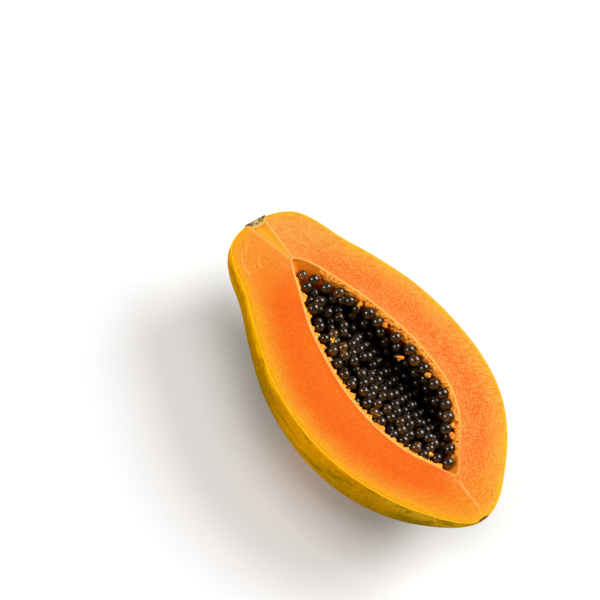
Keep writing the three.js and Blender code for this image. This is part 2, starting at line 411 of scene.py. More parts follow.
def tint(share, first, second):
    """A mix of two colours, each a value or red, green and blue from 0 to 255."""
    first, second = (colour(*tone) if isinstance(tone, tuple) else tone for tone in (first, second))
    return node(share.tree, "ShaderNodeMix", {0: share, 6: first, 7: second}, 2, data_type="RGBA")


def painted(shade, *coats):
    """A colour under coats of others, each given as its share and its red, green and blue."""
    for share, *tone in coats:
        shade = tint(share, shade, tuple(tone))
    return shade


def ramp(value, deepest, stops):
    """Colours along a value in metres. Each is given as its millimetres and its red, green and blue."""
    made = node(value.tree, "ShaderNodeValToRGB", {0: value / (deepest / 1000)})
    band = made.socket.node.color_ramp
    while len(band.elements) < len(stops):
        band.elements.new(0.5)
    for element, (place, *tone) in zip(band.elements, stops):
        element.position = place / deepest
        element.color = colour(*tone)
    return made


def stretched(place, factors, turn=(0, 0, 0)):
    return node(place.tree, "ShaderNodeMapping", {"Vector": place, "Rotation": turn, "Scale": factors})


def bump(height, depth):
    """Shading raised by a height from 0 to 1, times a depth in metres."""
    return node(height.tree, "ShaderNodeBump", {"Height": height, "Distance": depth})


def wired(material, **values):
    """The material, with values linked to its shader's inputs."""
    shader = material.node_tree.nodes["Principled BSDF"]
    for key, value in values.items():
        value.tree.links.new(value.socket, shader.inputs[key.replace("_", " ")])
    return material


# The skin's colours, from the cut down, as millimetres and red, green and blue. Their darkening is partly
# painted shade.
skin_colours_and_shade = [(0, 244, 174, 0), (2.5, 236, 154, 0), (6, 210, 134, 0), (12, 198, 134, 0), (20, 184, 132, 2),
                (28, 146, 120, 6), (38, 104, 98, 8), (57, 88, 90, 8)]
deepest_skin = 60


def skin_finish():
    made = finish("waxy skin", Roughness=0.5, Specular_IOR_Level=0.0)
    place, x, _, z = where(made)
    along = stretched(place, (0.14, 1, 1))
    cloud = grain(place, 22, 3, 0.55)
    streak = grain(along, 160, 4, 0.65, 0.3)
    hairline = grain(along, 1000, 4, 0.65, 0.2)
    mottle = grain(place, 800, 3, 0.65)

    # The colour greens towards the blossom end and darkens down the side in a wandering line, partly as
    # painted shade.
    drop = cut_height - z + (cloud - 0.5) * 0.03 + (streak - 0.5) * 0.012
    drop += spread(x, -0.01, 0.09, 0.0, 0.012)
    ripe = spread(grain(place, 14), 0.5, 0.68)
    # At the waist the skin is painted darker olive, partly its own colour and partly a painted shadow.
    waist_olive_and_shade = spread(x, -0.085, -0.05) * spread(x, 0.015, -0.02)
    belly = spread(x, -0.02, 0.01) * spread(x, 0.05, 0.02)
    pale_end = spread(x, 0.05, 0.085) * spread(drop, 0.028, 0.012)
    shade = painted(
        ramp(drop, deepest_skin, skin_colours_and_shade),
        (ripe * 0.6, 214, 138, 2),
        (waist_olive_and_shade * spread(drop, -0.001, 0.005, 0.0, 0.55), 128, 92, 2),
        (belly * 0.4, 242, 160, 4),
        (pale_end * 0.75, 240, 184, 34))

    # Olive bands and fine dark lines run lengthwise, below the yellow rim.
    under_rim = spread(drop, 0.001, 0.007)
    shade = painted(
        shade,
        (spread(streak, 0.5, 0.66) * under_rim * 0.75, 132, 98, 4),
        (spread(hairline, 0.52, 0.66) * under_rim * 0.62, 96, 76, 6),
        (spread(hairline, 0.45, 0.3, 0.0, 0.4), 238, 184, 4),
        (spread(mottle, 0.5, 0.7, 0.0, 0.4), 236, 176, 2),
        (spread(mottle, 0.48, 0.3, 0.0, 0.35), 120, 92, 4))

    # Small dark freckles, and the brown scar where the flower was.
    dots = node(place.tree, "ShaderNodeTexVoronoi", {"Vector": place, "Scale": 300}, "Distance")
    speck = spread(dots, 0.22, 0.1) * spread(grain(place, 80), 0.5, 0.62)
    shade = painted(shade, (speck * 0.8, 66, 50, 8))
    from_scar = vectors("SUBTRACT", place, tuple(stem_end + Vector((fruit_length / 1000, 0, 0))))
    scar_gap = streak * 0.002 + vectors("LENGTH", from_scar, output="Value")
    scar_tone = tint(spread(hairline, 0.35, 0.6), (96, 62, 22), (172, 120, 50))
    shade = tint(spread(scar_gap, 0.0066, 0.0046), shade, scar_tone)
    return wired(made, Base_Color=shade, Normal=bump(mottle * 0.5 + speck * -0.5 + hairline * 0.3, 0.00015))


def skin_edge_finish():
    made = finish("cut edge of the skin", Roughness=0.45, Specular_IOR_Level=0.05)
    place = where(made)[0]
    return wired(made, Base_Color=tint(grain(place, 160, 3), (238, 176, 4), (244, 192, 20)))


waxy_skin, skin_edge = skin_finish(), skin_edge_finish()
skin_mesh = half_mesh("skin", outside, under_skin, Sides=round_sides, Face_Steps=1, Face_Crowding=1.0,
                      Lowest=0.0, Outside=waxy_skin, Cut=skin_edge, Inside=skin_edge)
piece("skin", skin_mesh, "skin", "fruit_half")


# --------------------------------------------------
# The flesh
# Soft moist flesh, yellow under the skin, orange towards the core and pale round the seed cavity. The knife
# has cut it flat, and a shallow groove runs from the stem to the cavity's point.

cavity_start = 29.3
cavity_length = 147.2
cavity_fullness = [9.5, 11, 14.1, 17.2, 21.4, 24.1, 26.5, 27.8, 27.7, 24, 16.6, 12.3, 13]
cavity_shift = [3.6, 5.7, 5.9, 7, 7.5, 4.5, 3.1]
cavity_depth_share = 1.15
groove = {"from": 3, "to": 28.6, "near": [-5, 3.1], "far": [4.6, 4.2], "deepest": 0.7, "depth": 1.3,
          "fade": 0.7}
neck_bends = {"within": 4, "from": 26}
face_steps = 32
face_crowding = 1.9
hollow_steps = 10

# How deep the flesh sinks as it dries, and how its edge is rounded beside the cavity.
sink = {"depth": 0.3, "from_skin": (0, 4), "from_rim": (0.5, 3.5), "rounding": 0.12, "rounded": (0, 0.35)}
far_off = 30.0


def cavity_at(x):
    """The cavity's centre, half width and depth at places along the fruit."""
    along = np.clip((np.asarray(x, float) - cavity_start) / cavity_length, 0, 1)
    share = np.arccos(1 - 2 * along) / np.pi
    half_width = smooth(cavity_fullness, share) * np.sin(np.pi * share)
    return smooth(cavity_shift, share), half_width, half_width * cavity_depth_share


def along_groove(x):
    """How far along the groove a place is, its edge on the near side, its bottom and its far edge."""
    share = (x - groove["from"]) / (groove["to"] - groove["from"])
    near, far = (share * (last - first) + first for first, last in (groove["near"], groove["far"]))
    return share, near, (far - near) * groove["deepest"] + near, far


# The inner stations: the stem hollow, the groove's bottom, the cavity and the core behind it.
hollow_turn = steps(0, np.pi / 2, hollow_steps)
hollow_x = under_skin[0, 0] + (stem_hollow["depth"] - under_skin[0, 0]) * np.sin(hollow_turn)
neck_x = steps(stem_hollow["depth"], cavity_start, head_steps - hollow_steps)[1:-1]
neck_line = along_groove(neck_x)[2] * np.clip((neck_x - stem_hollow["depth"]) / neck_bends["within"], 0, 1)
to_cavity = np.clip((neck_x - neck_bends["from"]) / (cavity_start - neck_bends["from"]), 0, 1)
neck_line += (cavity_shift[0] - neck_line) * to_cavity
cavity_x = cavity_start + cavity_length / 2 * (1 - np.cos(np.pi * steps(0, 1, body_steps)))
cavity = stations(cavity_x, *cavity_at(cavity_x))
cavity[[0, -1], 2:] = 0
hollow = stations(hollow_x, 0, under_skin[0, 2] * np.cos(hollow_turn))
before_core = [hollow, stations(neck_x, neck_line), cavity]
core_share = steps(0, 1, len(outside) - sum(map(len, before_core)))[1:]
core_x = cavity_x[-1] + (under_skin[-1, 0] - cavity_x[-1]) * core_share
core = stations(core_x, cavity_shift[-1] * (1 - core_share))
core[-1] = under_skin[-1]
inside = np.concatenate([*before_core, core])


def gap_to(points, rows):
    """How far each point on the cut face is from the nearest point of the two sides of some stations."""
    line = np.concatenate([np.stack([rows[:, 0], rows[:, 1] + side * rows[:, 2]], 1) for side in (-1, 1)])
    fine = np.concatenate([line[:-1] + (line[1:] - line[:-1]) * share for share in (0, 0.25, 0.5, 0.75)])
    nearest = np.full(len(points), 1e9)
    for start in range(0, len(fine), 200):
        away = points[:, None, :] - fine[None, start:start + 200, :]
        nearest = np.minimum(nearest, np.sqrt((away**2).sum(2)).min(1))
    return nearest


def step_up(value, low, high):
    share = np.clip((value - low) / (high - low), 0, 1)
    return share * share * (3 - 2 * share)


def groove_drop(x, y):
    """How deep the groove is at a place on the cut face: a shallow V, steep on its far side."""
    share, near, bottom, far = along_groove(x)
    deepest = groove["depth"] * (1 - groove["fade"] * np.clip(share, 0, 1))
    near_side = (y - near) / np.maximum(bottom - near, 1e-6)
    far_side = (far - y) / np.maximum(far - bottom, 1e-6)
    inside_it = (x < groove["to"]) & (near < far)
    return np.where(inside_it, deepest * np.clip(np.minimum(near_side, far_side), 0, 1), 0)


# Pale veins in the cut face: how wide and how strong, and places along and across the fruit.
veins = [
    (0.45, 0.36, [(7, -8), (9.2, -12.5), (11.5, -15.2), (15, -16.4)]),
    (0.45, 0.36, [(17.6, -10.6), (19.6, -12.2), (22.6, -14.6), (26, -15.4)]),
    (0.45, 0.36, [(10.6, -16.6), (13.2, -19.6), (17, -22), (22.4, -23.2), (29, -23.8)]),
    (0.45, 0.28, [(9, 10), (11.5, 13.4), (15.4, 15)]),
    (0.4, 0.18, [(12, 17), (17, 19.6), (24, 21.4), (33, 23.4)]),
    (0.4, 0.16, [(20, 14), (27, 16.4), (36, 18.2)]),
    (0.45, 0.3, [(176, 0.4), (180, 0.9), (185, 1.7), (191, 2.1)]),
    (0.75, 0.3, [(177.6, 4.6), (184.1, 2.2), (188.9, 1.8), (193.8, 2.3), (201.8, 1.4)])]


# The flesh's colours, from the skin inwards, as millimetres and red, green and blue.
near_colours = [
    (0, 223, 150, 0), (1.4, 228, 162, 0), (2.8, 228, 156, 26), (4.5, 227, 146, 33), (7, 226, 132, 27),
    (10.5, 227, 115, 21), (14, 227, 104, 15), (17.5, 227, 96, 11), (21, 227, 98, 14), (28, 227, 104, 16)]
far_colours = [
    (0, 225, 176, 30), (1.4, 227, 167, 42), (2.8, 227, 159, 52), (4.5, 227, 154, 52), (7, 227, 143, 49),
    (10, 227, 132, 48), (13, 227, 121, 40), (16, 227, 115, 37), (20, 227, 124, 48), (24, 227, 131, 54)]
deepest_colour = 30


def moist(name, roughness, specular, scattered, radius):
    """A material that light soaks into, as far as a radius in metres for red, green and blue."""
    return finish(name, Roughness=roughness, Specular_IOR_Level=specular, Subsurface_Weight=scattered,
                  Subsurface_Radius=radius, Subsurface_Scale=1.0)


def kept(tree, name):
    """A value that is kept on the mesh."""
    return node(tree, "ShaderNodeAttribute", output="Fac", attribute_name=name)


def flesh_finish():
    made = moist("cut flesh", 0.5, 0.05, 0.2, (0.002, 0.0006, 0.0002))
    place, x, y, _ = where(made)
    gaps = ("skin_gap", "rim_gap", "groove_share")
    skin_gap, rim_gap, in_groove = (kept(place.tree, name) for name in gaps)
    far_side = spread(y, -0.014, 0.008)
    head = spread(x, -0.05, -0.09)
    tail = spread(x, 0.066, 0.1)

    # Clouds move the colours a few millimetres in and out.
    depth = (grain(place, 60, 3, 0.6, 0.4) - 0.5) * 0.008 + skin_gap
    near, far = (ramp(depth, deepest_colour, colours) for colours in (near_colours, far_colours))
    shade = tint(far_side, near, far)
    inner = spread(skin_gap, 0.001, 0.006)
    shade = tint(head * 0.8 * inner, shade, tint(far_side, (227, 147, 46), (227, 156, 66)))
    shade = tint(tail * 0.7 * inner, shade, (227, 145, 24))

    # Fine grain all over, fibres that run with the skin at the neck and the far side, and wrinkles.
    specks = grain(place, 1300, 3, 0.7)
    beside_skin = node(place.tree, "ShaderNodeCombineXYZ", {"X": skin_gap, "Y": x})
    fibres = grain(stretched(beside_skin, (1.0, 0.3, 1)), 900, 3, 0.65, 1.6)
    fibred = sums("MAXIMUM", head * 0.6, far_side) * 0.7
    leaning = stretched(stretched(place, (1, 1, 0), (0, 0, math.radians(-58))), (0.3, 1, 1))
    wrinkles = grain(leaning, 800, 3, 0.6, 1.2)
    wrinkled = far_side * spread(rim_gap, 0.001, 0.005) * spread(x, -0.02, 0.02) * spread(x, 0.08, 0.045)
    fine = (specks - 0.5) * 0.85 + 0.5 + (fibres - 0.5) * fibred * 0.8 + (wrinkles - 0.5) * wrinkled * 0.75
    pale = spread(fine, 0.5, 0.64, 0.0, 0.5) * (far_side * 0.5 + 0.5)
    shade = painted(shade, (pale, 229, 168, 88), (spread(fine, 0.5, 0.36, 0.0, 0.62), 226, 80, 8))

    # The cavity's edge is a thin pale line, wider and softer on the far side and faint at the two ends:
    # partly its own pale tissue, partly a painted highlight.
    mid = spread(x, -0.08, -0.06) * spread(x, 0.07, 0.04)
    rim_line_and_highlight = spread(rim_gap / (far_side * 0.0007 + 0.0008), 1.2, 0.4) * (mid * 0.5 + 0.4)
    shade = tint(rim_line_and_highlight, shade, tint(far_side, (231, 212, 140), (230, 178, 84)))

    # The groove is smooth, painted deeper orange towards its bottom as painted shade, with painted highlights
    # as pale lines along its two edges; veins show as pale lines.
    along, across = x - stem_end.x, y - stem_end.y
    shade = painted(shade, (spread(in_groove, 0.02, 0.2), 232, 160, 42),
                    (spread(in_groove, 0.5, 1.0, 0.0, 0.9), 234, 148, 8))
    wander = (grain(place, 420, 3) - 0.5) * 0.0022
    _, near, _, far = along_groove(along * 1000)
    for ridge, outward, strength in ((near, -0.0003, 0.45), (far, 0.0003, 0.6)):
        beside = sums("ABSOLUTE", across - ridge * 0.001 - outward) + wander * 0.25
        ridge_highlight = spread(beside, 0.0007, 0.0002) * spread(along, 0.031, 0.026)
        shade = painted(shade, (ridge_highlight * strength, 230, 190, 112))
    for width, strength, vein in veins:
        places = np.array(vein) / 1000
        low, reach = places.min(0), np.ptp(places, 0)
        share = (along - low[0]) / reach[0]
        curve = node(place.tree, "ShaderNodeFloatCurve", {"Value": share})
        mapping = curve.socket.node.mapping
        line = mapping.curves[0].points
        while len(line) < len(vein):
            line.new(0.5, 0.5)
        for point, location in zip(line, (places - low) / reach):
            point.location = location
        mapping.update()
        beside = sums("ABSOLUTE", across + wander - (curve * reach[1] + low[1]))
        ends = spread(share, 0.0, 0.25) * spread(share, 1.0, 0.75)
        shown = spread(beside, width / 600, width / 4000) * ends
        shade = painted(shade, (shown * strength, 231, 196, 118))
    return wired(made, Base_Color=shade, Normal=bump(fine, 0.0003))


# The lining's colours, from the cut down, as millimetres and red, green and blue. Orange at the top, its
# darkening to near black lower down is painted shade.
lining_colours_and_shade = [
    (0, 255, 152, 34), (2.2, 255, 130, 18), (4.2, 246, 92, 8), (6.2, 150, 42, 4), (8.5, 20, 7, 2)]
deepest_lining = 10


def lining_finish():
    made = moist("cavity lining", 0.4, 0.15, 0.5, (0.004, 0.001, 0.0003))
    place, x, _, z = where(made)
    rough = grain(place, 420, 3, 0.6)
    # The painted shade starts further down at its two narrow ends, so it stays orange further down there.
    drop = cut_height - z - spread(x, -0.06, -0.03, 0.0034, 0.002) - spread(x, 0.052, 0.066, 0.0, 0.002)
    drop += (rough - 0.5) * 0.004
    return wired(made, Base_Color=ramp(drop, deepest_lining, lining_colours_and_shade), Normal=bump(rough, 0.0006))


cut_flesh, lining = flesh_finish(), lining_finish()
flesh_mesh = half_mesh("flesh", under_skin, inside, Sides=round_sides, Face_Steps=face_steps,
                       Face_Crowding=face_crowding, Lowest=skin_thickness / 1000, Outside=skin_edge,
                       Cut=cut_flesh, Inside=lining)

places = corners(flesh_mesh)
part = np.empty(len(flesh_mesh.polygons), np.float32)
flesh_mesh.attributes["part"].data.foreach_get("value", part)
on_face = np.zeros(len(places), bool)
for face, number in zip(flesh_mesh.polygons, part):
    if abs(number - 1) < 0.1:
        on_face[list(face.vertices)] = True
skin_gap, rim_gap = np.full((2, len(places)), far_off)
skin_gap[on_face] = gap_to(places[on_face, :2], under_skin)
rim_gap[on_face] = gap_to(places[on_face, :2], cavity)

# The flesh dries and sinks a little between the skin and the cavity's edge, and the groove is cut into it.
grooved = groove_drop(places[:, 0], places[:, 1])
drop = sink["depth"] * step_up(skin_gap, *sink["from_skin"]) * step_up(rim_gap, *sink["from_rim"]) + grooved
drop += sink["rounding"] * (1 - step_up(rim_gap, *sink["rounded"]))
places[on_face, 2] = -drop[on_face]
keep(flesh_mesh, {"skin_gap": skin_gap / 1000, "rim_gap": rim_gap / 1000,
                  "groove_share": np.where(on_face, grooved / groove["depth"], 0)})
piece("flesh", flesh_mesh, "flesh", "fruit_half", places=places)


# --------------------------------------------------
# The seeds
# Round black seeds about 6 mm across, each in a wet see-through coat. They lie one deep down the cavity's far
# side and fill its near side almost to the cut face, held in pulp.

# The seeds nearest the cut face, as places along and across the fruit.
rim_seeds = [
    (38.9, 4.3), (44.2, 8.7), (51.4, 11.8), (57.6, 16.2), (64.6, 18.2), (75.8, 23.2), (82.5, 24), (95, 27.3),
    (105, 29.3), (111.3, 28.1), (117.4, 29.7), (128.1, 28.6), (134.9, 29.2), (140.8, 26.4), (147.2, 22.8),
    (152.2, 17.2), (162.7, 11.4), (168.8, 5.2), (163.3, 1.8), (158, -3.2), (152.8, -4.6), (145.8, -8.2),
    (140.4, -10.9), (131, -12), (124.8, -12), (118.4, -11.8), (112, -9.3), (105.2, -12.8), (98.7, -12.6),
    (91.6, -11.2), (84.2, -9.2), (76.1, -8.9), (69, -6.8), (58.3, -2.7), (45.8, 2.3)]
seed_radius = 3.1
seeds_drawn = 150
seed_lift = [3.8, 6.2]
heap_fill = {"share": 0.79, "rise": [0.85, 2.3]}
seed_row = {"ends": [40, 168], "top": -3.2, "lower": 0.7, "turns": [0.35, 2.6]}
# Where the cavity's half width is less than this, fewer seeds are kept.
all_kept_from = 20
seed_spacing = 6.7
seed_nearest = 5.2
settle_steps = 40
settle_push = 0.3
seed_stray = 0.7

# The seeds that lie under them and only show through the gaps.
under = {"tries": 9000, "depth": [4.0, 8.5], "nearest": 5.4, "lift": 4.6, "ends": [38, 171], "top": -4}

# Their shapes: the least share of the radius along each axis, the most, and the sizes.
seed_least = (0.96, 0.92, 0.88)
seed_most = 1.03
seed_sizes = (0.94, 1.04)
plump = {"times": 1.1, "before": 60, "above": -4}
# The clearest seeds, as places along and across the fruit. Tones run from 0, black, to 1, clear.
clear_seeds = [(38.9, 4.3), (75.6, -3.8), (83.3, -4.3), (96, 18), (105.5, 21.4), (116, 19.7), (129, 18),
               (146.7, 14.2), (126.9, -8), (66, 8), (91.5, -6), (152, -1)]
usual_tone = 0.72
# The side of each seed that gets the painted glow, as a direction.
painted_glow_side = (0.7, -0.62, -0.35)
seeds_under_cut = -0.02


def drawer(seed):
    """A repeatable draw of numbers from 0 to 1."""
    state = seed
    while True:
        state = (state * 1664525 + 1013904223) % 2**32
        yield state / 2**32


def on_heap(x, turn, lift):
    """Places on the heap of seeds, at a turn from the far side under to the near side."""
    centre, half_width, depth = cavity_at(x)
    across = np.maximum(half_width - lift, 0.3)
    first, last = heap_fill["rise"]
    short = 1 - np.clip((turn - first) / (last - first), 0, 1)
    filled = heap_fill["share"] * (1 - short**3)
    down = np.maximum((depth - lift) * (1 - filled), -seed_row["top"])
    height = np.minimum(-down * np.sin(turn), seed_row["top"])
    return np.stack([x, centre + across * np.cos(turn), height], -1)


def settled_seeds():
    """The seeds at the rim stay where they are. The others are drawn at random over the heap and then push
    each other apart until they are packed evenly."""
    draw = drawer(7)
    held = np.array([(x, y, seed_row["top"] - seed_row["lower"] * next(draw)) for x, y in rim_seeds])
    drawn = []
    while len(drawn) < seeds_drawn:
        ranges = (seed_row["ends"], seed_row["turns"], seed_lift)
        x, turn, lift = (low + (high - low) * next(draw) for low, high in ranges)
        if next(draw) * all_kept_from < cavity_at(x)[1]:
            drawn.append((x, turn, lift))
    x, turn, lift = np.array(drawn).T
    for _ in range(settle_steps):
        at = on_heap(x, turn, lift)
        tangent = (on_heap(x, turn + 0.01, lift) - at) * 100
        everyone = np.concatenate([held, at])
        away = at[:, None] - everyone[None]
        apart = np.sqrt((away**2).sum(2))
        apart[apart == 0] = 1e9
        force = np.where(apart < seed_spacing, settle_push * (seed_spacing - apart) / apart, 0)
        push = (away * force[..., None]).sum(1)
        turn = np.clip(turn + (push * tangent).sum(1) / (tangent**2).sum(1), *seed_row["turns"])
        x = np.clip(x + push[:, 0], *seed_row["ends"])
    at = np.concatenate([held, on_heap(x, turn, lift)])
    return at[[i for i in range(len(at)) if all(np.linalg.norm(at[i] - at[:i], axis=1) > seed_nearest)]]


top_seeds = settled_seeds()
loose = top_seeds[len(rim_seeds):]
loose += np.random.default_rng(5).uniform(-seed_stray, seed_stray, loose.shape)

chance = np.random.default_rng(41)
tries_x = chance.uniform(*under["ends"], under["tries"])
tries_turn = chance.uniform(0.1, np.pi - 0.1, under["tries"])
surface = on_heap(tries_x, tries_turn, under["lift"])
tries = surface.copy()
tries[:, 2] -= chance.uniform(*under["depth"], under["tries"])
tries = tries[np.argsort(surface[:, 2] - tries[:, 2])]
centre, half_width, depth = cavity_at(tries[:, 0])
off_axis = np.hypot((tries[:, 1] - centre) / np.maximum(half_width - seed_radius, 0.1),
                    tries[:, 2] / np.maximum(depth - seed_radius, 0.1))
all_seeds = top_seeds
for at in tries[(off_axis < 1) & (tries[:, 2] < under["top"])]:
    if np.linalg.norm(all_seeds - at, axis=1).min() > under["nearest"]:
        all_seeds = np.concatenate([all_seeds, [at]])


def seed_tree():
    """Puts a seed at each point, turned and sized by the point's own values."""
    tree, spots, radius, edge, coat = grower(
        "seed heap", Places="Geometry", Radius="Float", Edge_Points="Int", Coat="Material")
    block = node(tree, "GeometryNodeMeshCube", {"Size": (2, 2, 2), 1: edge, 2: edge, 3: edge})
    bulged = [sums("TANGENT", axis * (math.pi / 4)) for axis in xyz(node(tree, "GeometryNodeInputPosition"))]
    even = node(tree, "ShaderNodeCombineXYZ", dict(enumerate(bulged)))
    ball = vectors("SCALE", vectors("NORMALIZE", even), scale=radius)
    seed = step("SetPosition", block, {"Position": ball})
    heap = step("InstanceOnPoints", spots, {
        "Instance": seed, "Rotation": named(tree, "facing"), "Scale": named(tree, "size")})
    return ended(heap, [(coat, True)])


def seed_finish():
    made = finish("wet seed coat", Roughness=0.55, Specular_IOR_Level=0.1, Coat_Weight=1.0,
                  Coat_Roughness=0.05, Coat_IOR=1.8)
    place, _, _, z = where(made)
    tone, shade_start = kept(place.tree, "tone"), kept(place.tree, "shade_start")
    mottle = grain(place, 900, 3, 0.65, 0.8)
    patch = grain(place, 420)
    cells = node(place.tree, "ShaderNodeTexVoronoi", {"Vector": place, "Scale": 950}, "Distance",
                 feature="DISTANCE_TO_EDGE")
    net = spread(cells, 0.1, 0.02) * spread(mottle, 0.4, 0.6)

    # Painted glow: brown and olive painted along each seed's side away from the main light, standing in for
    # light let through the coat.
    facing = node(place.tree, "ShaderNodeNewGeometry", output="Normal")
    low = vectors("DOT_PRODUCT", facing, painted_glow_side, output="Value")
    painted_glow = spread(low, 0.25, 0.95) * spread(mottle, 0.35, 0.6)
    dark = painted(
        tint(spread(tone, 0.0, 0.6), (12, 7, 3), (36, 23, 9)),
        (spread(patch, 0.5, 0.66, 0.0, 0.7), 74, 46, 16),
        (painted_glow, 140, 92, 28),
        (net * 0.22, 118, 90, 50))
    amber = painted(tint(spread(mottle, 0.45, 0.62), (46, 28, 7), (158, 98, 16)), (painted_glow, 238, 150, 20))
    shade = tint(spread(tone, 0.5, 0.95) * spread(patch, 0.32, 0.55), dark, amber)

    # Painted shade: the deeper a seed lies, from a random start for each seed, the darker it is painted and
    # the thinner its coat.
    painted_depth_shade = spread(shade_start * 0.006 + (cut_height - z), 0.006, 0.0125)
    return wired(made, Base_Color=painted(shade, (painted_depth_shade * 0.94, 5, 2, 0)), Coat_Weight=painted_depth_shade * -0.6 + 1.0,
                 Normal=bump(mottle + net * 0.3, 0.00012), Coat_Normal=bump(grain(place, 1000), 0.00007))


many = len(all_seeds)
shapes = np.stack([chance.uniform(least, seed_most, many) for least in seed_least], 1)
shapes *= chance.uniform(*seed_sizes, (many, 1))
fatter = (all_seeds[:, 1] > cavity_at(all_seeds[:, 0])[0]) | (all_seeds[:, 0] < plump["before"])
shapes[fatter & (all_seeds[:, 2] > plump["above"])] *= plump["times"]
all_seeds[:, 2] = np.minimum(all_seeds[:, 2], -seed_radius * shapes.max(1) - 0.05)
tones = chance.uniform(0, usual_tone, many)
for x, y in clear_seeds:
    tones[np.argmin(np.hypot(top_seeds[:, 0] - x, top_seeds[:, 1] - y))] = 1
# Each seed gets a random start for its painted depth shade.
seeds_mesh = grown("seeds", seed_tree(), all_seeds, {
    "facing": chance.uniform(0, 2 * np.pi, (many, 3)), "size": shapes, "tone": tones,
    "shade_start": chance.uniform(0, 1, many)}, Radius=seed_radius / 1000, Edge_Points=4, Coat=seed_finish())
piece("seed_heap", seeds_mesh, "seeds", "seeds", highest=seeds_under_cut, sharp_angle=180)


# --------------------------------------------------
# The pulp
# Soft yellow pulp that held the seeds, torn where the knife went through. It stands out from the near edge
# in ragged teeth between the seeds, and covers the far wall in wet crumbs.

# The teeth on the near edge, as places along the fruit and widths.
teeth = [
    (51, 4), (62, 3), (68.5, 1.6), (73, 2.6), (80.5, 3.4), (88, 2.6), (95.5, 1.6), (101.5, 1.6), (105, 1.6),
    (108, 1.8), (111.5, 4), (116.5, 1.8), (122.5, 1.8), (126, 2.6), (134, 5), (143.5, 2), (148, 2),
    (151.5, 1.8), (156.5, 2), (160, 2), (168, 2.4)]
# How far a tooth stands out and how far it reaches along, each as a start and a share of its width.
tooth = {"out": (0.8, 0.75), "along": (0.4, 0.65)}
fringe = {"tries": 15000, "furthest": 4.2, "ends": [40, 170], "radius": [0.35, 0.9], "clear": 2.7, "at": -0.8}
wall = {"tries": 2600, "ends": [43, 168], "down": [0.4, 5.5], "off": [0.1, 1.1], "radius": [0.6, 1.35]}
crumb_clear = 0.12
crumb_least = 0.22
pulp_under_cut = -0.05

# Bigger pieces caught between the seeds: along, across and down from the cut face.
scraps = [(79.5, -6.8, 1.2), (80.5, -5.6, 1.6), (122, 28, 2.4), (158, 17, 2.2), (153, 20.5, 2.0),
          (69.5, 21.5, 2.2), (128, -12, 1.6), (160.5, -1.5, 1.4), (106, 22, 4.2), (86.5, 26, 2.2)]
scrap = {"crumbs": 10, "size": 1.1, "shape": (1.3, 1, 0.7), "radius": [0.6, 1.2]}

# How far along and across a thing seems to move for each millimetre that it lies under the cut face.
seen_under = np.array([0.2527, -0.6007])


def ragged(low, high, spacing):
    """A random wavy line along the fruit, between two values."""
    knots = np.arange(0, fruit_length + spacing, spacing)
    values = chance.uniform(0, 1, len(knots))
    return lambda x: low + (high - low) * np.interp(x, knots, values)


def crumbs():
    """Places and radii of the balls that make up the pulp, clear of the seeds."""
    # The fringe: a shelf out from the near edge, as far as the ragged line and where no seed lies under it.
    tries = fringe["tries"]
    x = chance.uniform(*fringe["ends"], tries)
    out = chance.uniform(0, fringe["furthest"], tries)
    centre, half_width, _ = cavity_at(x)
    reach = ragged(0.2, 0.9, 1.3)(x)
    for along, wide in teeth:
        out_by, along_by = (start + share * wide for start, share in tooth.values())
        reach = np.maximum(reach, out_by * (1 - np.abs(x - along) / along_by))
    reach = reach * ragged(0.75, 1.15, 0.6)(x)
    z = -0.15 - chance.uniform(0, 1, tries) * (0.5 + 0.45 * out)
    low, high = fringe["radius"]
    radius = low + (high - low) * chance.uniform(0, 1, tries) ** 2
    at = np.stack([x, centre - half_width + out, z], 1)
    beside = top_seeds[None, :, :2] + seen_under * (fringe["at"] - top_seeds[None, :, 2:])
    plan_gap = np.linalg.norm(at[:, None, :2] - beside, axis=2).min(1)
    wanted = (out < reach) & (plan_gap > fringe["clear"] + ragged(-0.3, 0.3, 0.7)(x))
    places, radii = [at[wanted]], [radius[wanted]]

    # The far wall: crumbs in clumps, with bare pits between them.
    tries = wall["tries"]
    x = chance.uniform(*wall["ends"], tries)
    down = chance.uniform(*wall["down"], tries)
    centre, half_width, depth = cavity_at(x)
    turn = np.arcsin(np.clip(down / np.maximum(depth, 0.1), 0, 1))
    stand_off = chance.uniform(*wall["off"], tries)
    at = np.stack([x, centre + (half_width - stand_off) * np.cos(turn), -down], 1)
    clumps = np.sin(x * 1.9 + 3 * np.sin(down * 1.1 + x * 0.37)) + np.sin(x * 0.83 + down * 1.7)
    wanted = clumps + chance.uniform(-0.5, 0.5, tries) > -0.7 + 0.4 * down
    low, high = wall["radius"]
    radius = np.minimum(low + (high - low) * chance.uniform(0, 1, tries), down - crumb_clear)
    places.append(at[wanted])
    radii.append(radius[wanted])

    # The scraps between the seeds.
    middles = np.repeat(np.array(scraps) * (1, 1, -1), scrap["crumbs"], 0)
    places.append(middles + chance.normal(0, scrap["size"] / 2, middles.shape) * scrap["shape"])
    radii.append(chance.uniform(*scrap["radius"], len(middles)))

    at = np.concatenate(places)
    gap = np.linalg.norm(at[:, None] - top_seeds[None], axis=2).min(1) - seed_radius - crumb_clear
    radius = np.minimum(np.concatenate(radii), gap)
    wanted = (radius > crumb_least) & (at[:, 2] < -0.1)
    return at[wanted], radius[wanted]


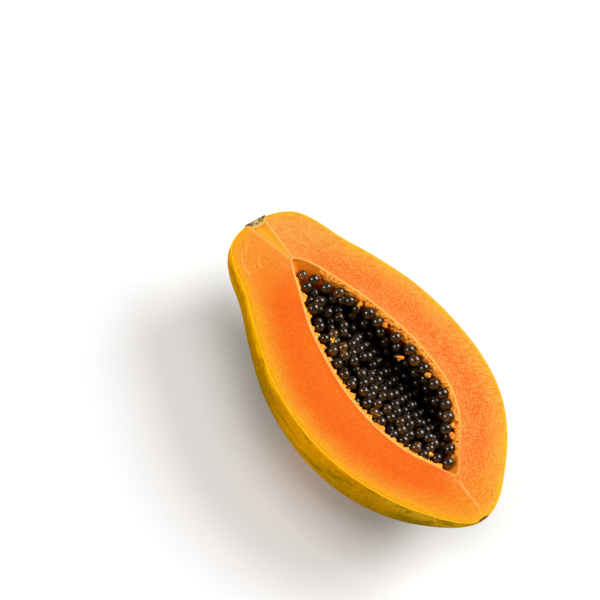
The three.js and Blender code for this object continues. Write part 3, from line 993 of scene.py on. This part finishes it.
def pulp_tree():
    """Melts balls at the points, sized by the points' own radius, into one crumbly surface."""
    tree, spots, voxel, torn, torn_size, pulp = grower(
        "torn pulp", Crumbs="Geometry", Voxel="Float", Torn="Float", Torn_Size="Float", Pulp="Material")
    radius = named(tree, "radius", "FLOAT")
    cloud = step("PointsToVolume", step("MeshToPoints", spots, {"Radius": radius}),
                 {"Voxel Size": voxel, "Radius": radius}, resolution_mode="VOXEL_SIZE")
    mass = step("VolumeToMesh", cloud, {"Threshold": 0.2})
    place = node(tree, "GeometryNodeInputPosition")
    noise = node(tree, "ShaderNodeTexNoise", {"Vector": place, "Scale": torn_size, "Detail": 1.0}, "Color")
    pulled = vectors("SCALE", vectors("SUBTRACT", noise, (0.5, 0.5, 0.5)), scale=torn)
    return ended(step("SetPosition", mass, {"Offset": pulled}), [(pulp, True)])


def pulp_finish():
    made = moist("torn pulp", 0.45, 0.15, 0.4, (0.003, 0.001, 0.0003))
    place, _, y, z = where(made)
    rough = grain(place, 700, 3, 0.6)
    far_side = spread(y, -0.004, 0.008)
    ripe = tint(far_side, (253, 156, 24), (255, 148, 30))
    pale = tint(far_side, (255, 200, 96), (255, 190, 96))
    # The pulp is painted darker deeper in the cavity, as painted shade.
    shade = painted(
        tint(spread(rough, 0.45, 0.68), ripe, pale),
        (spread(grain(place, 220), 0.5, 0.68, 0.0, 0.5), 248, 116, 6),
        (spread(cut_height - z, 0.003, 0.009, 0.0, 0.75), 186, 78, 4))
    return wired(made, Base_Color=shade, Normal=bump(rough, 0.0003))


crumb_places, crumb_radii = crumbs()
pulp_mesh = grown("pulp", pulp_tree(), crumb_places, {"radius": crumb_radii / 1000},
                  Voxel=0.00026, Torn=0.0005, Torn_Size=700.0, Pulp=pulp_finish())
piece("pulp", pulp_mesh, "flesh", "fruit_half", highest=pulp_under_cut, sharp_angle=180)


# --------------------------------------------------
# The stalk
# The dry woody stub that the fruit hung by, grown into the stem hollow and cut in half with it. It is tan
# and olive, with dark bark at its two sides and a pale edge where the flesh has grown up round it.

stub = {"radius": 6.85, "out": 0.4, "deepest": 4.45, "under_cut": 0.12}
stub_wood = {"radius": 6.1, "deepest": 3.0}
stub_end_steps = 5
stub_steps = 26


def bark_finish():
    made = finish("dry stalk", Roughness=0.85, Specular_IOR_Level=0.2)
    place = where(made)[0]
    from_stem = vectors("SUBTRACT", place, tuple(stem_end))
    away = vectors("LENGTH", vectors("MULTIPLY", from_stem, (0, 1, 1)), output="Value")
    rough = grain(place, 420, 4, 0.65)
    wood = tint(spread(rough, 0.35, 0.65), (112, 92, 40), (200, 182, 118))

    # Where the fruit has grown up round the stub, the stub turns pale and yellow.
    grown_in = vectors("MULTIPLY", from_stem, (1000 / stub_wood["deepest"], 1000 / stub_wood["radius"], 0))
    grown_in = spread(rough * 0.6 + vectors("LENGTH", grown_in, output="Value"), 1.16, 1.32)
    shade = painted(wood, (spread(rough * 0.0022 + away, 0.0046, 0.0060), 92, 62, 34),
                    (grown_in * spread(xyz(from_stem)[0], 0.0, 0.0008), 231, 172, 74))
    return wired(made, Base_Color=shade, Normal=bump(rough, 0.0012))


bark = bark_finish()
stub_x = steps(-stub["out"], stub["deepest"], stub_steps)
inward = np.clip(stub_x[1:] / stub["deepest"], 0, 1)
stub_width = stub["radius"] * np.concatenate([steps(0, 1, stub_end_steps), np.sqrt(1 - inward**2)])
stub_width[-1] = 0
stub_x = np.concatenate([np.full(stub_end_steps, -stub["out"]), stub_x])
stalk_mesh = half_mesh("stalk", stations(stub_x, 0, stub_width), stations(stub_x), stub["under_cut"] / 1000,
                       Sides=40, Face_Steps=14, Face_Crowding=1.0, Lowest=0.0, Outside=bark, Cut=bark,
                       Inside=bark)
piece("stalk", stalk_mesh, "stalk", "stalk_stub")


# --------------------------------------------------
# The floor, the lights and the camera
# A plain pale floor, a soft light overhead, a wider one to the right, a smaller and brighter one to the left
# and a dim white fill all round.

floor_size = 12.0
floor_corners = [(x * floor_size / 2, y * floor_size / 2, 0) for x, y in ((-1, -1), (1, -1), (1, 1), (-1, 1))]
floor_mesh = bpy.data.meshes.new("floor")
floor_mesh.from_pydata(floor_corners, [], [(0, 1, 2, 3)])
pale_floor = finish("pale floor", Base_Color=(0.92, 0.92, 0.92, 1), Roughness=0.9, Specular_IOR_Level=0.0)
floor_mesh.materials.append(pale_floor)
floor = placed("floor", floor_mesh)

# The camera looks down on the cut face from the near side, turned so that the stem end is up on the left.
azimuth, elevation, roll = map(math.radians, (22.81, 56.91, 33.16))
view_distance = 1.435
focal_pixels = 2691
picture_size = 600
sensor_width = 36
light_distance = 1.2
# The camera looks at the middle of the fruit's length, which is this many pixels right and down of centre.
looked_at = stem_end + Vector((fruit_length / 2000, 0, 0))
right_of_centre, down_of_centre = 67.95, 67.14

# The turn from right, up and back in the picture to the row frame.
aimed = Matrix.Rotation(azimuth, 3, "Z") @ Matrix.Rotation(math.pi / 2 - elevation, 3, "X")
aimed = aimed @ Matrix.Rotation(roll, 3, "Z")
off_centre = Vector((right_of_centre, -down_of_centre, -focal_pixels))
swing = Vector((0, 0, -1)).rotation_difference(off_centre.normalized()).to_matrix()
camera = placed("camera", bpy.data.cameras.new("camera"))
camera.data.sensor_width = sensor_width
camera.data.lens = focal_pixels / picture_size * sensor_width
seen_from = Matrix.Translation(looked_at + aimed.col[2] * view_distance)
camera.matrix_world = seen_from @ (aimed @ swing.inverted()).to_4x4()
bpy.context.scene.camera = camera


def softbox(name, direction, wide, tall, brightness):
    """A soft light seen from the fruit in a direction, given as shares of right, up and back."""
    towards = (aimed @ Vector(direction)).normalized()
    made = bpy.data.lights.new(name, "AREA")
    made.shape = "RECTANGLE"
    made.size, made.size_y = (2 * light_distance * math.tan(math.radians(a) / 2) for a in (wide, tall))
    made.energy = math.pi * made.size * made.size_y * brightness
    light = placed(name, made)
    light.location = looked_at + towards * light_distance
    light.rotation_euler = towards.to_track_quat("Z", "Y").to_euler()
    return light


overhead = softbox("overhead softbox", (0.24, 0.34, 0.91), 34, 34, 4.25)
overhead.visible_glossy = False
softbox("right softbox", (0.8, 0.53, 0.28), 38, 38, 6.3)
softbox("left softbox", (-0.69, 0.15, 0.71), 24, 28, 7.2)
fill = bpy.data.worlds.new("fill")
bpy.context.scene.world = fill
fill.use_nodes = True
background = fill.node_tree.nodes["Background"].inputs
background["Color"].default_value = (1, 1, 1, 1)
background["Strength"].default_value = 0.06
bpy.context.scene.view_settings.view_transform = "Standard"
